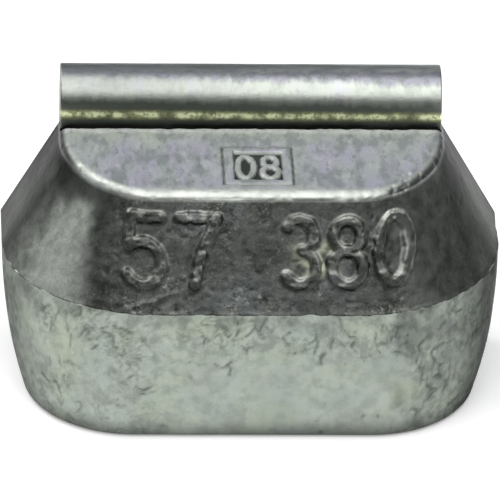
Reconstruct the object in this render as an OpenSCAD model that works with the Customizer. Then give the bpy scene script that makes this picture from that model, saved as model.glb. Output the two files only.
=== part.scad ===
// Clip-on wheel balance weight: a cast body held on a rim flange by a spring steel clip.
// X runs along the rim, +Y points at the rim, +Z points from the base to the hook.
// The origin is the centre of the flat base, in millimetres.

/* [Cast body] */
// Length of the body along the rim, at the parting line
body_w = 35.8; // [35:0.1:60]
// Thickness of the body from front to rim face, at the parting line
body_d = 15.5; // [13.5:0.1:20]
// Plan radius of the two front corners at the parting line
corner_r = 11; // [8:0.1:12]
// Height of the lower wall, from the base to the parting line
lower_h = 10.1; // [8:0.1:14]
// Height of the upper wall, from the parting line to the shoulder
upper_h = 7.7; // [5:0.1:9]
// How far each end wall leans in between the parting line and the shoulder
upper_end_draft = 4.4; // [2:0.1:5]
// How far the front wall leans in between the parting line and the shoulder
upper_front_draft = 4.3; // [2:0.1:5]
// How far each end wall leans in between the parting line and the base
lower_end_draft = 1.8; // [0.2:0.1:3]
// How far the front wall leans in between the parting line and the base
lower_front_draft = 0.2; // [0:0.1:2]
// Plan radius of the two front corners at the base
base_corner_r = 7.7; // [5:0.1:10]
// Length, front to back, of the shoulder's two oval front corners
shoulder_corner_l = 9; // [6:0.1:9.2]
// Outward swell of the lower wall at half its height
crown = 0.4; // [0:0.05:0.8]
// Rounding of the shoulder's front and end edges
shoulder_round = 0.9; // [0.3:0.1:1.5]
// Rounding of the edge round the base
base_round = 0.6; // [0.2:0.1:1.2]

/* [Spring clip] */
// Width of the steel strip along the rim
clip_w = 27.4; // [20:0.1:28]
// Thickness of the steel strip
clip_t = 1.2; // [0.8:0.1:1.6]
// Length of the tail that is cast into the body
tail_h = 9; // [6:0.1:11]
// Straight rise of the strip from the shoulder to the hook's bend
rise = 0.9; // [0.5:0.1:3]
// Inner radius of the hook's bend, half the thickness of the rim edge that it grips
hook_r = 1.25; // [1:0.05:3]
// Turn of the hook's bend: over 180 degrees the jaw closes towards the rim face
hook_turn = 185; // [180:1:190]
// Straight length of the jaw behind the rim edge
jaw_h = 4.4; // [3:0.1:6]
// Inner radius of the bend that flares the lip
lip_r = 1.4; // [0.8:0.1:2.5]
// Turn of the flared lip, which guides the clip over the rim edge
lip_turn = 42; // [20:1:55]
// Straight length of the lip past its bend
lip_h = 1.4; // [1.2:0.1:2]
// Rounding of the four corners of the flat strip
strip_corner_r = 1; // [0.4:0.1:1.1]

/* [Anchoring] */
// Diameter of each hole in the tail that the casting fills
anchor_d = 3.6; // [2:0.1:5]
// Distance between the two anchor holes
anchor_pitch = 14; // [8:0.5:18]
// Width of the groove between the shoulder and the clip
gap_w = 0.45; // [0.2:0.05:0.8]
// Depth of that groove below the rounded rear edge
gap_h = 1.2; // [0.3:0.1:1.5]
// Rounding of the shoulder's rear edge beside the groove
rear_round = 0.3; // [0.2:0.1:1]

/* [Hidden] */
// Facets of a full circle
$fn = 96;
// Steps round each front corner, up the lower wall and over each rounded edge
corner_steps = 20;
wall_steps = 10;
round_steps = 5;
// Room that a cutting shape needs past the surface that it cuts
past = 1;
rim_y = body_d / 2;
front_y = -body_d / 2;
shoulder_z = lower_h + upper_h;
clip_front_y = rim_y - clip_t;
tail_z = shoulder_z - tail_h;
anchor_z = tail_z + tail_h * 0.45;
hook_y = rim_y + hook_r;
hook_z = shoulder_z + rise;
zinc = "#a3a8a4";
steel = "#b9bcb4";

// The lower wall's lean at share u of its height, 0 at the parting line and 1 at the base
function lower_lean(draft, u) = draft * u - crown * 4 * u * (1 - u);

// One level of the body: end inset, front inset, corner width, corner length and height
function lower_level(z, extra) =
    let (
        u = 1 - z / lower_h,
        r = corner_r + (base_corner_r - corner_r) * u - extra
    )
    [lower_lean(lower_end_draft, u) + extra, lower_lean(lower_front_draft, u) + extra, r, r, z];

// The inset of the shoulder's rounding where its surface faces angle a above the horizontal
function rounded_inset(draft, a) =
    let (
        lean = atan(draft / upper_h),
        start_h = upper_h - shoulder_round * (1 - sin(lean))
    )
    draft * start_h / upper_h + shoulder_round * (cos(lean) - cos(max(a, lean)));

function shoulder_level(a) =
    let (
        side = rounded_inset(upper_end_draft, a),
        front = rounded_inset(upper_front_draft, a),
        share = (side + front) / (upper_end_draft + upper_front_draft)
    )
    [
        side,
        front,
        corner_r - (side + front) / 2,
        corner_r - (corner_r - shoulder_corner_l) * share,
        shoulder_z - shoulder_round * (1 - sin(a))
    ];

// The plan outline at one level: square at the rim face, round at the two front corners
function outline(level) =
    let (
        w = body_w / 2 - level[0],
        front = front_y + level[1],
        rx = level[2],
        ry = level[3],
        z = level[4]
    )
    concat(
        [[-w, rim_y, z]],
        [for (i = [0:corner_steps])
            let (a = 180 + 90 * i / corner_steps)
            [rx - w + rx * cos(a), front + ry + ry * sin(a), z]],
        [for (i = [0:corner_steps])
            let (a = 270 + 90 * i / corner_steps)
            [w - rx + rx * cos(a), front + ry + ry * sin(a), z]],
        [[w, rim_y, z]]
    );

// Levels from the base to the shoulder
base_levels = [for (i = [0:round_steps - 1])
    let (a = 90 * i / round_steps)
    lower_level(base_round * (1 - cos(a)), base_round * (1 - sin(a)))];
wall_levels = [for (i = [0:wall_steps])
    lower_level(base_round + (lower_h - base_round) * i / wall_steps, 0)];
first_lean = atan(max(upper_end_draft, upper_front_draft) / upper_h);
shoulder_levels = [for (i = [0:round_steps])
    shoulder_level(first_lean + (90 - first_lean) * i / round_steps)];
levels = concat(base_levels, wall_levels, shoulder_levels);

// A solid through a stack of outlines that all have the same number of points
module loft(rings) {
    n = len(rings[0]);
    last = len(rings) - 1;
    polyhedron(
        points = [for (ring = rings) each ring],
        faces = concat(
            [[for (i = [0:n - 1]) i]],
            [for (k = [0:last - 1], i = [0:n - 1])
                let (j = (i + 1) % n)
                each [
                    [k * n + i, (k + 1) * n + i, (k + 1) * n + j],
                    [k * n + i, (k + 1) * n + j, k * n + j]
                ]],
            [[for (i = [n - 1:-1:0]) last * n + i]]
        )
    );
}

// Turns a drawing in Y and Z into a prism that runs along X, centred on the origin
module along_rim(length) {
    translate([-length / 2, 0, 0])
        rotate([90, 0, 90])
            linear_extrude(length) children();
}

// The waste outside the two rounded corners of a strip whose end lies on the X axis
module corner_waste() {
    for (side = [0, 1])
        mirror([side, 0])
            translate([clip_w / 2 - strip_corner_r, strip_corner_r])
                difference() {
                    translate([0, -strip_corner_r - past]) square(strip_corner_r + past);
                    circle(strip_corner_r);
                }
}

// What the flat tail loses: its two lower corners and its two anchor holes
module tail_trim() {
    translate([0, rim_y + 2 * past, 0])
        rotate([90, 0, 0])
            linear_extrude(clip_t + 3 * past) {
                translate([0, tail_z]) corner_waste();
                for (side = [-1, 1])
                    translate([side * anchor_pitch / 2, anchor_z]) circle(d = anchor_d);
            }
}

// The pocket for the tail, open at the rim face, with a boss for each anchor hole
module tail_pocket() {
    difference() {
        translate([-clip_w / 2, clip_front_y, tail_z])
            cube([clip_w, clip_t + past, tail_h + past]);
        tail_trim();
    }
}

// A ring sector that starts at angle 0 and turns counterclockwise
module bend(inner_r, turn) {
    reach = 3 * (inner_r + clip_t);
    steps = ceil(turn / 45);
    intersection() {
        difference() {
            circle(inner_r + clip_t);
            circle(inner_r);
        }
        polygon(concat(
            [[0, 0]],
            [for (i = [0:steps]) reach * [cos(turn * i / steps), sin(turn * i / steps)]]
        ));
    }
}

// Moves a drawing's origin to the end of the jaw's straight length, with Y along the lip's bend
module at_lip_bend() {
    translate([hook_y, hook_z])
        rotate(180 - hook_turn)
            translate([hook_r + clip_t + lip_r, -jaw_h])
                rotate(180) children();
}

// The strip's side profile: tail, rise, hook, jaw and flared lip
module strip_profile() {
    translate([clip_front_y, tail_z]) square([clip_t, tail_h + rise]);
    translate([hook_y, hook_z]) {
        mirror([1, 0]) bend(hook_r, hook_turn);
        rotate(180 - hook_turn) translate([hook_r, -jaw_h]) square([clip_t, jaw_h]);
    }
    at_lip_bend() {
        bend(lip_r, lip_turn);
        rotate(lip_turn) translate([lip_r, 0]) square([clip_t, lip_h]);
    }
}

// What the lip loses: its two corners
module lip_trim() {
    translate([0, hook_y, hook_z])
        rotate([180 - hook_turn, 0, 0])
            translate([0, hook_r + clip_t + lip_r, -jaw_h])
                rotate([lip_turn, 0, 0])
                    translate([0, past - lip_r, -lip_h])
                        rotate([90, 0, 0])
                            linear_extrude(clip_t + 2 * past) corner_waste();
}

// The groove in front of the clip, with the shoulder's rear edge rounded down into it
module rear_gap() {
    edge_y = clip_front_y - gap_w;
    along_rim(clip_w) {
        translate([edge_y, shoulder_z - rear_round - gap_h])
            square([gap_w, rear_round + gap_h + past]);
        difference() {
            translate([edge_y - rear_round, shoulder_z - rear_round])
                square([rear_round, rear_round + past]);
            translate([edge_y - rear_round, shoulder_z - rear_round])
                circle(rear_round);
        }
    }
}

module cast_body() {
    color(zinc)
        difference() {
            loft([for (level = levels) outline(level)]);
            tail_pocket();
            rear_gap();
        }
}

module spring_clip() {
    color(steel)
        difference() {
            along_rim(clip_w) strip_profile();
            tail_trim();
            lip_trim();
        }
}

cast_body();
spring_clip();
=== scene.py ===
"""Looks of a clip-on wheel balance weight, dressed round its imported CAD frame."""
import math

import bmesh
import bpy
import numpy as np
from mathutils import Matrix, Vector, noise


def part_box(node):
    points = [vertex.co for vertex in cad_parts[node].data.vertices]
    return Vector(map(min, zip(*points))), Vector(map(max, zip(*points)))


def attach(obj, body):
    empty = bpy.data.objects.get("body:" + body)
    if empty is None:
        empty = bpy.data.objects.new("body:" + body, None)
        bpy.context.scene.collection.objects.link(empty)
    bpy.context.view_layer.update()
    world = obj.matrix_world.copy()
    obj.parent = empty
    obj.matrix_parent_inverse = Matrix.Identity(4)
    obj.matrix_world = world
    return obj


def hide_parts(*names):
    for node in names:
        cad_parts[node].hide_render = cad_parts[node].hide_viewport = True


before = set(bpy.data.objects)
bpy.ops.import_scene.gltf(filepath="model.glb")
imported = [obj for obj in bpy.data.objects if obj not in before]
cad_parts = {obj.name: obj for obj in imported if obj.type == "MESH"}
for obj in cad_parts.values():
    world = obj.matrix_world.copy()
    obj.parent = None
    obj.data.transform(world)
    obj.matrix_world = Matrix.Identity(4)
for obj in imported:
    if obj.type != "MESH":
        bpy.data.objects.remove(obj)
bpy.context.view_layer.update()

MM = 0.001

# Sizes of the two pieces in millimetres, as in their CAD source
BODY_W, BODY_D = 35.8, 15.5
CORNER_R, BASE_CORNER_R, SHOULDER_CORNER_L = 11.0, 7.7, 9.0
LOWER_H, UPPER_H = 10.1, 7.7
UPPER_END, UPPER_FRONT = 4.4, 4.3
LOWER_END, LOWER_FRONT = 1.8, 0.2
CROWN = 0.4
SHOULDER_ROUND, BASE_ROUND = 0.9, 0.6
REAR_ROUND, GAP_W, GAP_H = 0.3, 0.45, 1.2
CLIP_W, CLIP_T, TAIL_H = 27.4, 1.2, 9.0
RISE, HOOK_R, HOOK_TURN, JAW_H = 0.9, 1.25, 185.0, 4.4
LIP_R, LIP_TURN, LIP_H = 1.4, 42.0, 1.4
STRIP_CORNER_R = 1.0
ANCHOR_D, ANCHOR_PITCH = 3.6, 14.0
RIM_Y, FRONT_Y = BODY_D / 2, -BODY_D / 2
SHOULDER_Z = LOWER_H + UPPER_H
CLIP_FRONT_Y = RIM_Y - CLIP_T
HOOK_Y = RIM_Y + HOOK_R
TAIL_Z = SHOULDER_Z - TAIL_H
ANCHOR_Z = TAIL_Z + TAIL_H * 0.45


# Camera

# The fitted view in degrees: height above the floor, turn round the weight and tilt of the frame
VIEW_ELEVATION, VIEW_AZIMUTH, VIEW_ROLL = 28.9, -2.8, 1.57
# Scale in pixels a millimetre and distance in millimetres, both at the parting line on the rim face
PX_PER_MM, VIEW_DIST = 13.814, 591.7
# How far right of that line's middle and how far below it the frame's centre lies, in pixels
FRAME_RIGHT, FRAME_DOWN = 2.15, 39.28
FRAME_PX, SENSOR_MM = 500.0, 36.0


def add_camera():
    """A long lens about 29 degrees above the weight, a little to its left."""
    elev, azim, roll = (math.radians(v) for v in (VIEW_ELEVATION, VIEW_AZIMUTH, VIEW_ROLL))
    back = Vector((math.sin(azim) * math.cos(elev), -math.cos(azim) * math.cos(elev), math.sin(elev)))
    right = Vector((math.cos(azim), math.sin(azim), 0.0))
    up = back.cross(right)
    cam_right = math.cos(roll) * right + math.sin(roll) * up
    cam_up = math.cos(roll) * up - math.sin(roll) * right
    anchor = Vector((0.0, RIM_Y, LOWER_H))
    target = anchor + (cam_right * FRAME_RIGHT - cam_up * FRAME_DOWN) / PX_PER_MM
    data = bpy.data.cameras.new("camera")
    data.sensor_fit = "HORIZONTAL"
    data.sensor_width = SENSOR_MM
    data.lens = PX_PER_MM * VIEW_DIST / FRAME_PX * SENSOR_MM
    data.clip_start, data.clip_end = 0.01, 20.0
    cam = bpy.data.objects.new("camera", data)
    bpy.context.scene.collection.objects.link(cam)
    rot = Matrix((cam_right, cam_up, back)).transposed().to_4x4()
    cam.matrix_world = Matrix.Translation((target + back * VIEW_DIST) * MM) @ rot
    bpy.context.scene.camera = cam


add_camera()


# Helpers

def smooth(a, b, x):
    """Rises from 0 at a to 1 at b."""
    t = np.clip((x - a) / (b - a), 0.0, 1.0)
    return t * t * (3.0 - 2.0 * t)


def window(a, b, c, d, x):
    """Rises from 0 to 1 between a and b, and falls back between c and d."""
    return smooth(a, b, x) * (1 - smooth(c, d, x))


def perlin(points, scale, offset=(0.0, 0.0, 0.0), octaves=1):
    """Noise of each point, about -1 to 1. scale is the size of a bump in millimetres."""
    off = Vector(offset)
    flat = points.reshape(-1, 3) / scale
    if octaves == 1:
        vals = [noise.noise(Vector(p) + off) for p in flat]
    else:
        vals = [noise.fractal(Vector(p) + off, 1.0, 2.0, octaves) for p in flat]
    return np.array(vals).reshape(points.shape[:-1])


def grid_normals(grid):
    du = np.gradient(grid, axis=1)
    dv = np.gradient(grid, axis=0)
    n = np.cross(du, dv)
    length = np.linalg.norm(n, axis=-1, keepdims=True)
    return n / np.maximum(length, 1e-9)


def new_object(name, mesh):
    ob = bpy.data.objects.new(name, mesh)
    bpy.context.scene.collection.objects.link(ob)
    return ob


def cut(ob, cutter):
    """Cuts one object's shape out of another, and keeps only the result."""
    mod = ob.modifiers.new("cut", "BOOLEAN")
    mod.operation, mod.solver, mod.object = "DIFFERENCE", "EXACT", cutter
    depsgraph = bpy.context.evaluated_depsgraph_get()
    done = bpy.data.meshes.new_from_object(ob.evaluated_get(depsgraph))
    ob.modifiers.clear()
    old, ob.data = ob.data, done
    bpy.data.meshes.remove(old)


def drop_object(ob):
    mesh = ob.data
    bpy.data.objects.remove(ob)
    bpy.data.meshes.remove(mesh)


# Casting: form

# Columns of the casting's grid of points: along each end wall, round each corner and along the front
END_N, ARC_N, FRONT_N = 18, 116, 112
COLS = 2 * END_N + 2 * ARC_N + FRONT_N + 1


def ring(end, front, rx, ry, z):
    """The D-shaped outline at one height, from the rim face round the left, front and right walls."""
    w, f = BODY_W / 2 - end, FRONT_Y + front
    a = np.radians(np.linspace(180, 270, ARC_N + 1))
    b = np.radians(np.linspace(270, 360, ARC_N + 1))
    x = np.concatenate([np.full(END_N, -w), rx - w + rx * np.cos(a),
                        np.linspace(rx - w, w - rx, FRONT_N + 1)[1:],
                        (w - rx + rx * np.cos(b))[1:], np.full(END_N, w)])
    y = np.concatenate([np.linspace(RIM_Y, f + ry, END_N + 1)[:-1], f + ry + ry * np.sin(a),
                        np.full(FRONT_N, f), (f + ry + ry * np.sin(b))[1:],
                        np.linspace(f + ry, RIM_Y, END_N + 1)[1:]])
    return np.stack([x, y, np.full(COLS, z)], -1)


def lower_lean(draft, u):
    return draft * u - CROWN * 4 * u * (1 - u)


def lower_ring(z, extra=0.0):
    u = 1 - z / LOWER_H
    r = CORNER_R + (BASE_CORNER_R - CORNER_R) * u - extra
    return ring(lower_lean(LOWER_END, u) + extra, lower_lean(LOWER_FRONT, u) + extra, r, r, z)


def leaning_ring(side, front, z):
    """An outline above the parting line, whose corners turn from round to oval as it leans in."""
    share = (side + front) / (UPPER_END + UPPER_FRONT)
    length = CORNER_R - (CORNER_R - SHOULDER_CORNER_L) * share
    return ring(side, front, CORNER_R - (side + front) / 2, length, z)


def upper_ring(h):
    share = h / UPPER_H
    return leaning_ring(UPPER_END * share, UPPER_FRONT * share, LOWER_H + h)


def round_inset(draft, a):
    """The inset of the shoulder's rounding where its surface faces angle a above the horizontal."""
    lean = math.atan(draft / UPPER_H)
    start = UPPER_H - SHOULDER_ROUND * (1 - math.sin(lean))
    return draft * start / UPPER_H + SHOULDER_ROUND * (math.cos(lean) - math.cos(max(a, lean)))


def shoulder_ring(a):
    return leaning_ring(round_inset(UPPER_END, a), round_inset(UPPER_FRONT, a),
                        SHOULDER_Z - SHOULDER_ROUND * (1 - math.sin(a)))


def fan(outline, share):
    """A row across the base or the shoulder, a share of the way from its outline to its rear edge."""
    step = np.linalg.norm(np.diff(outline, axis=0), axis=1)
    s = np.concatenate([[0.0], np.cumsum(step)]) / step.sum()
    w = outline[-1, 0]
    rear = np.stack([w * (2 * s - 1), np.full(COLS, RIM_Y), outline[:, 2]], -1)
    return outline + (rear - outline) * share


def casting_rows():
    """All rows from the base's rear edge, up the walls and over the shoulder, with their zone.

    They lie closer together where the surface bends or carries small marks.
    """
    rows, zone = [], []

    def put(row, name):
        rows.append(row)
        zone.append(name)

    base = lower_ring(0.0, BASE_ROUND)
    for share in np.linspace(1.0, 0.0, 9)[:-1]:
        put(fan(base, share), "base")
    for a in np.radians(np.linspace(0, 90, 8))[:-1]:
        put(lower_ring(BASE_ROUND * (1 - math.cos(a)), BASE_ROUND * (1 - math.sin(a))), "lower")
    for z in np.linspace(BASE_ROUND, LOWER_H, 66):
        put(lower_ring(z), "lower")
    lean = math.atan(max(UPPER_END, UPPER_FRONT) / UPPER_H)
    top = UPPER_H - SHOULDER_ROUND * (1 - math.sin(lean))
    for h in np.concatenate([[0.05, 0.11], np.linspace(0.2, top, 74)])[:-1]:
        put(upper_ring(h), "upper")
    for a in np.linspace(lean, math.pi / 2, 12):
        put(shoulder_ring(a), "shoulder")
    edge = shoulder_ring(math.pi / 2)
    shares = np.concatenate([np.linspace(0, 0.80, 46)[1:], np.linspace(0.80, 0.90, 12)[1:], [0.95, 1.0]])
    for share in shares:
        put(fan(edge, share), "top")
    return np.array(rows), np.array(zone)


# Casting: marks

def arc(cx, cy, rx, ry, a0, a1, n=14):
    """Points along an oval arc from angle a0 to a1."""
    a = np.radians(np.linspace(a0, a1, n))
    return [(cx + rx * math.cos(t), cy + ry * math.sin(t)) for t in a]


# Strokes of plain numerals in a box of width 1 and height 1
DIGITS = {
    "0": [arc(0.5, 0.5, 0.5, 0.5, 0, 360, 28)],
    "3": [arc(0.47, 0.755, 0.45, 0.245, 150, -80) + arc(0.48, 0.265, 0.52, 0.265, 80, -150)],
    "5": [[(0.92, 1.0), (0.14, 1.0), (0.08, 0.55)] + arc(0.46, 0.32, 0.52, 0.32, 125, -145)],
    "7": [[(0.0, 1.0), (1.0, 1.0), (0.62, 0.5), (0.4, 0.0)]],
    "8": [arc(0.5, 0.755, 0.43, 0.245, 0, 360, 22), arc(0.5, 0.265, 0.5, 0.265, 0, 360, 24)],
}


def stroke_distance(x, y, strokes):
    """Distance from each point to the nearest stroke."""
    best = np.full(x.shape, 1e9)
    for line in strokes:
        for (ax, ay), (bx, by) in zip(line[:-1], line[1:]):
            dx, dy = bx - ax, by - ay
            t = np.clip(((x - ax) * dx + (y - ay) * dy) / (dx * dx + dy * dy + 1e-12), 0, 1)
            best = np.minimum(best, np.hypot(x - ax - t * dx, y - ay - t * dy))
    return best


def numerals(text, x0, y0, width, height, gap):
    """The strokes of a row of figures whose first one has its lower left corner at x0, y0."""
    out = []
    for k, ch in enumerate(text):
        left = x0 + k * (width + gap)
        out += [[(left + width * px, y0 + height * py) for px, py in line] for line in DIGITS[ch]]
    return out


# The figures on the front wall: left edge, height above the parting line along the slope, size
FRONT_FIGURES = numerals("57", -9.2, 2.1, 2.6, 4.8, 1.2) + numerals("380", 2.1, 2.2, 2.2, 4.6, 1.1)
# Their strokes: half width, height over the skin and width of the sloping sides
STROKE_HALF, STROKE_RISE, STROKE_SIDE = 0.37, 0.30, 0.20
# The square frame on the shoulder: centre and half sizes of its outer edge
PANEL_X, PANEL_Y, PANEL_W, PANEL_L = 0.28, 0.45, 2.4, 2.7
PANEL_FIGURES = numerals("08", PANEL_X - 1.45, PANEL_Y - 1.55, 1.15, 3.1, 0.6)
# Its border stands above the shoulder, its ground and the groove round it are sunk, its figures rise
BORDER_RISE, GROUND_SINK, PANEL_FIGURE_RISE, GROOVE_SINK = 0.12, 0.26, 0.20, 0.14


# Casting: surface

# Where the skin folded as the metal froze. Each point is a distance along the wall from its middle
# and a height above the parting line, which is negative on the lower wall.
LAPS = (
    [(-1.35, -0.1), (-1.2, -1.0), (-1.5, -1.9), (-1.3, -2.9), (-1.6, -3.8), (-1.45, -4.7)],
    [(-3.9, -3.6), (-3.2, -3.9), (-2.4, -3.85), (-1.8, -4.1)],
    [(-3.5, -1.5), (-3.3, -2.1), (-3.5, -2.7)],
    [(-2.7, -0.7), (-2.1, -0.9), (-1.6, -1.5)],
    [(-9.7, -0.8), (-8.8, -2.2), (-8.5, -3.5), (-7.9, -4.4), (-7.0, -5.0)],
    [(-10.9, -1.4), (-10.2, -1.0), (-9.4, -1.2)],
    [(-10.6, -1.5), (-10.8, -2.6), (-11.3, -3.1)],
    [(-10.7, -2.4), (-9.9, -2.8), (-9.3, -2.6)],
    [(-7.3, -5.6), (-6.9, -5.9), (-6.4, -5.9), (-6.0, -5.6)],
    [(-7.4, -5.95), (-6.9, -6.3), (-6.3, -6.3), (-5.9, -6.0)],
    [(-13.2, -2.4), (-13.4, -3.4), (-13.2, -4.6), (-12.7, -5.4)],
    [(-12.2, -1.5), (-11.7, -2.4), (-11.0, -2.3), (-10.6, -1.7)],
    [(0.9, -0.1), (0.6, -0.9), (0.3, -1.3)],
    [(1.9, -3.2), (2.1, -2.2), (2.0, -1.6), (2.5, -1.2)],
    [(3.6, -1.3), (4.2, -1.5), (4.0, -2.3), (4.5, -2.9), (4.4, -3.6)],
    [(4.9, -1.1), (5.3, -1.8), (5.0, -2.4)],
    [(6.1, -1.2), (6.7, -1.6), (6.5, -2.5), (6.9, -3.4)],
    [(8.2, -1.3), (8.0, -2.1), (8.25, -3.3)],
    [(9.9, -2.6), (10.6, -2.3), (10.9, -1.6)],
    [(12.3, -2.2), (11.6, -2.7), (11.3, -4.0), (11.6, -5.1)],
    [(13.8, -0.1), (14.6, -1.0), (16.0, -1.5), (17.3, -1.8), (18.6, -1.3)],
    [(-16.5, -6.2), (-15.6, -6.8), (-14.8, -6.5), (-14.3, -7.2)],
)
# A raised scar on the front wall: distance from its middle, and distance up its slope
SCAR = [(-9.3, 0.15), (-8.2, 0.75), (-7.2, 0.9), (-6.3, 1.4), (-5.7, 1.5)]
# Yellowish places on the lower wall: distance along it, height from the parting line, half sizes
WARM = ((-14.0, -3.4, 2.0, 2.2), (10.8, -6.3, 1.6, 1.0), (-3.5, -1.0, 2.5, 0.8))
# Sizes of the bumps in the skin, and their heights on each part of the casting, in millimetres
BROAD, MID, FINE = 5.0, 1.7, 0.55
LOWER_BROAD, LOWER_MID, LOWER_FINE = 0.045, 0.022, 0.010
UPPER_BROAD, UPPER_MID, UPPER_FINE = 0.035, 0.030, 0.022
TOP_BROAD, TOP_MID = 0.025, 0.012
ROUNDING_MID, ROUNDING_CHIP = 0.03, 0.06
CRACK_DEPTH, SCAR_RISE = 0.07, 0.07
# How far the skin lies inside the smooth form, so that its bumps stay close to it
LOWER_SINK, UPPER_SINK = 0.03, 0.02
# Flash along the parting line: height and half width
FLASH_RISE, FLASH_HALF = 0.030, 0.16
# Rough spacing of the grid's points on the walls
GRID_STEP = 0.14


def pits(s, t, rng, count, s_range, t_range, r_range, depth):
    """Small ragged pits scattered over a wall, as depth in millimetres at each point."""
    out = np.zeros(s.shape)
    for _ in range(count):
        ps, pt = rng.uniform(*s_range), rng.uniform(*t_range)
        r, d = rng.uniform(*r_range), rng.uniform(*depth)
        angle, long = rng.uniform(0, math.pi), rng.uniform(1.0, 2.4)
        u = (s - ps) * math.cos(angle) + (t - pt) * math.sin(angle)
        v = (t - pt) * math.cos(angle) - (s - ps) * math.sin(angle)
        out = np.maximum(out, d * np.exp(-1.6 * (u * u / (long * long) + v * v) / (r * r)))
    return out


def crack_lines(values, width):
    """Thin lines where a noise passes through zero, all about one width in millimetres."""
    slope = np.hypot(np.gradient(values, axis=0), np.gradient(values, axis=1)) / GRID_STEP
    line = np.exp(-(values / np.maximum(slope * width, 1e-6)) ** 2)
    return line * smooth(0.12, 0.35, slope)


def column_turns():
    """The direction that each column faces in plan: -90 at the left end, 0 in front, 90 at the right end."""
    return np.concatenate([np.full(END_N, -90.0), np.linspace(-90, 0, ARC_N + 1), np.zeros(FRONT_N),
                           np.linspace(0, 90, ARC_N + 1)[1:], np.full(END_N, 90.0)])


def upper_painted_light_and_tone(turn, s, t, mid, broad, fine):
    """How light the upper walls are: a pale patch on the left corner that is a painted reflection, dark
    smears beside it, and painted sheen and shade towards the ends.
    """
    bend = turn + 3.0 * mid + 2.0 * broad + 2.0 * fine - 1.3 * (5.0 - t)
    # Painted reflection: a pale patch on the left corner, dimmed at its top by painted shade
    pale = window(-90, -56, -42, -30, bend) * window(-0.8, 0.3, 6.4, 7.6, t + 0.4 * mid)
    shade = smooth(5.2, 6.9, t + 0.4 * mid) * window(-76, -67, -54, -44, turn)
    # Painted sheen: the left end, the right end, a band on it and the right corner are lightened
    left_streak = smooth(60, 69, -turn + 3 * mid) * (0.6 + 0.4 * smooth(1.0, 3.0, t))
    right_end = smooth(23.8, 24.8, s) * (1 - 0.4 * smooth(6, 8, t))
    right_band = smooth(70, 84, turn) * window(1.0, 3.5, 4.5, 6.5, t)
    right_corner = window(14, 26, 60, 75, turn)
    smear = window(-33, -29, -20, -12, bend) * smooth(0.0, 0.4, broad + mid)
    smudge = np.exp(-((s + 11.2) / 0.8) ** 2 - ((t - 1.7) / 0.7) ** 2)
    # Painted shade along the parting line round the left corner
    rim_shade = (1 - smooth(0.35, 0.9, t + 0.3 * mid)) * window(-56, -49, -20, -12, turn)
    tone = 1 + 3.8 * pale * (1 - 0.85 * shade) + 0.5 * left_streak
    tone = tone + 0.6 * right_end + 0.2 * right_band + 0.85 * right_corner + 0.30 * broad + 0.12 * mid
    tone = tone - 0.35 * smear - 0.6 * smudge - 0.25 * shade - 0.6 * rim_shade
    # Painted shade: both end walls darken upwards
    tone = tone * (1 - 0.55 * smooth(2.0, 5.2, t) * smooth(56, 64, -turn))
    tone = tone * (1 - 0.30 * smooth(4.0, 6.0, t) * smooth(58, 70, turn))
    # Painted shade: a dark band runs down each corner where it meets the end wall
    left_corner_shade = np.exp(-((turn + 84.5 - 2.0 * t + 2 * mid) / 4.5) ** 2)
    right_corner_shade = np.exp(-((turn - 62 - 14 * smooth(7.0, 8.2, t) + 2 * mid) / 6.0) ** 2)
    return tone * (1 - 0.42 * (left_corner_shade + right_corner_shade * smooth(1.0, 3.0, t)))


def lower_painted_shade_and_tone(turn, z, mid, broad, fine):
    """How light the lower wall is: darker and blotched towards both ends, darker along its two edges. The
    darkening at the ends and towards the base is painted shade.
    """
    blotch = smooth(-0.2, 0.25, mid * 0.6 + fine * 0.7 + broad * 0.2)
    # Painted shade towards the left end
    tone = 1 - 0.62 * smooth(42, 82, -turn) * (0.7 + 0.3 * blotch)
    tone = tone - 0.16 * smooth(0.0, 0.3, broad) * smooth(12, 36, -turn)
    right_side = smooth(10, 20, turn + 6 * mid + 5 * broad) * (1 - smooth(50, 75, turn))
    cloud = smooth(-0.4, 0.4, mid * 0.7 + broad * 0.5 + fine * 0.35)
    tone = tone - 0.40 * right_side * (0.25 + 0.75 * cloud)
    # Painted shade on the right end
    tone = tone * (1 - 0.82 * smooth(36, 70, turn) * (1 - 0.25 * smooth(70, 90, turn)))
    # Painted shade towards the base
    tone = tone * (0.30 + 0.70 * smooth(-0.2, 2.0, z + 0.4 * broad))
    under_line = np.exp(-((z - LOWER_H + 0.5) / 0.9) ** 2)
    return tone * (0.96 - 0.28 * under_line * smooth(-0.2, 0.3, mid))


def casting_painted_light_and_tone(turn, s, t, z, zones, mid, broad, fine):
    """How much lighter or darker than its zone's plain colour each point of the casting is: mostly painted
    reflection and shade, with blotches.
    """
    lower, upper, shoulder = zones
    up = upper_painted_light_and_tone(turn, s, t, mid, broad, fine)
    low = lower_painted_shade_and_tone(turn, z, mid, broad, fine)
    # The shoulder's rounding is bright where it is rubbed; painted shade dims its highlight round both
    # corners, and round the right corner it is ragged as well
    dull = 0.70 * smooth(18, 34, turn + 10 * mid + 8 * fine) + 0.72 * smooth(50, 68, -turn)
    on_bend = window(SHOULDER_Z - 0.8, SHOULDER_Z - 0.4, SHOULDER_Z - 0.3, SHOULDER_Z - 0.03, z)
    rounding = 0.94 - dull * on_bend
    return np.where(upper, up, np.where(lower, low, np.where(shoulder, rounding, 1.0)))


def casting_busy(s, h, zones, mid, broad):
    """How wrinkled and speckled the skin is, from 0 where it is smooth to 1."""
    lower, upper, _ = zones
    marks = window(-13.5, -10.5, 9.0, 12.0, s + mid) * (0.4 + 0.6 * smooth(-0.25, 0.3, broad))
    under_line = window(-3.8, -2.2, -0.1, 0.1, h + 0.5 * mid) * window(-19, -15, 11, 14, s)
    left = window(-19, -16, -6, -3.5, s + 2 * broad)
    right = smooth(9.5, 12.0, s + 1.5 * broad)
    skin = np.clip(0.10 + 0.9 * under_line + 0.5 * left + 0.8 * right, 0, 1)
    return np.where(upper, 0.08 + 0.92 * marks, np.where(lower, skin, 0.5))


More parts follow.
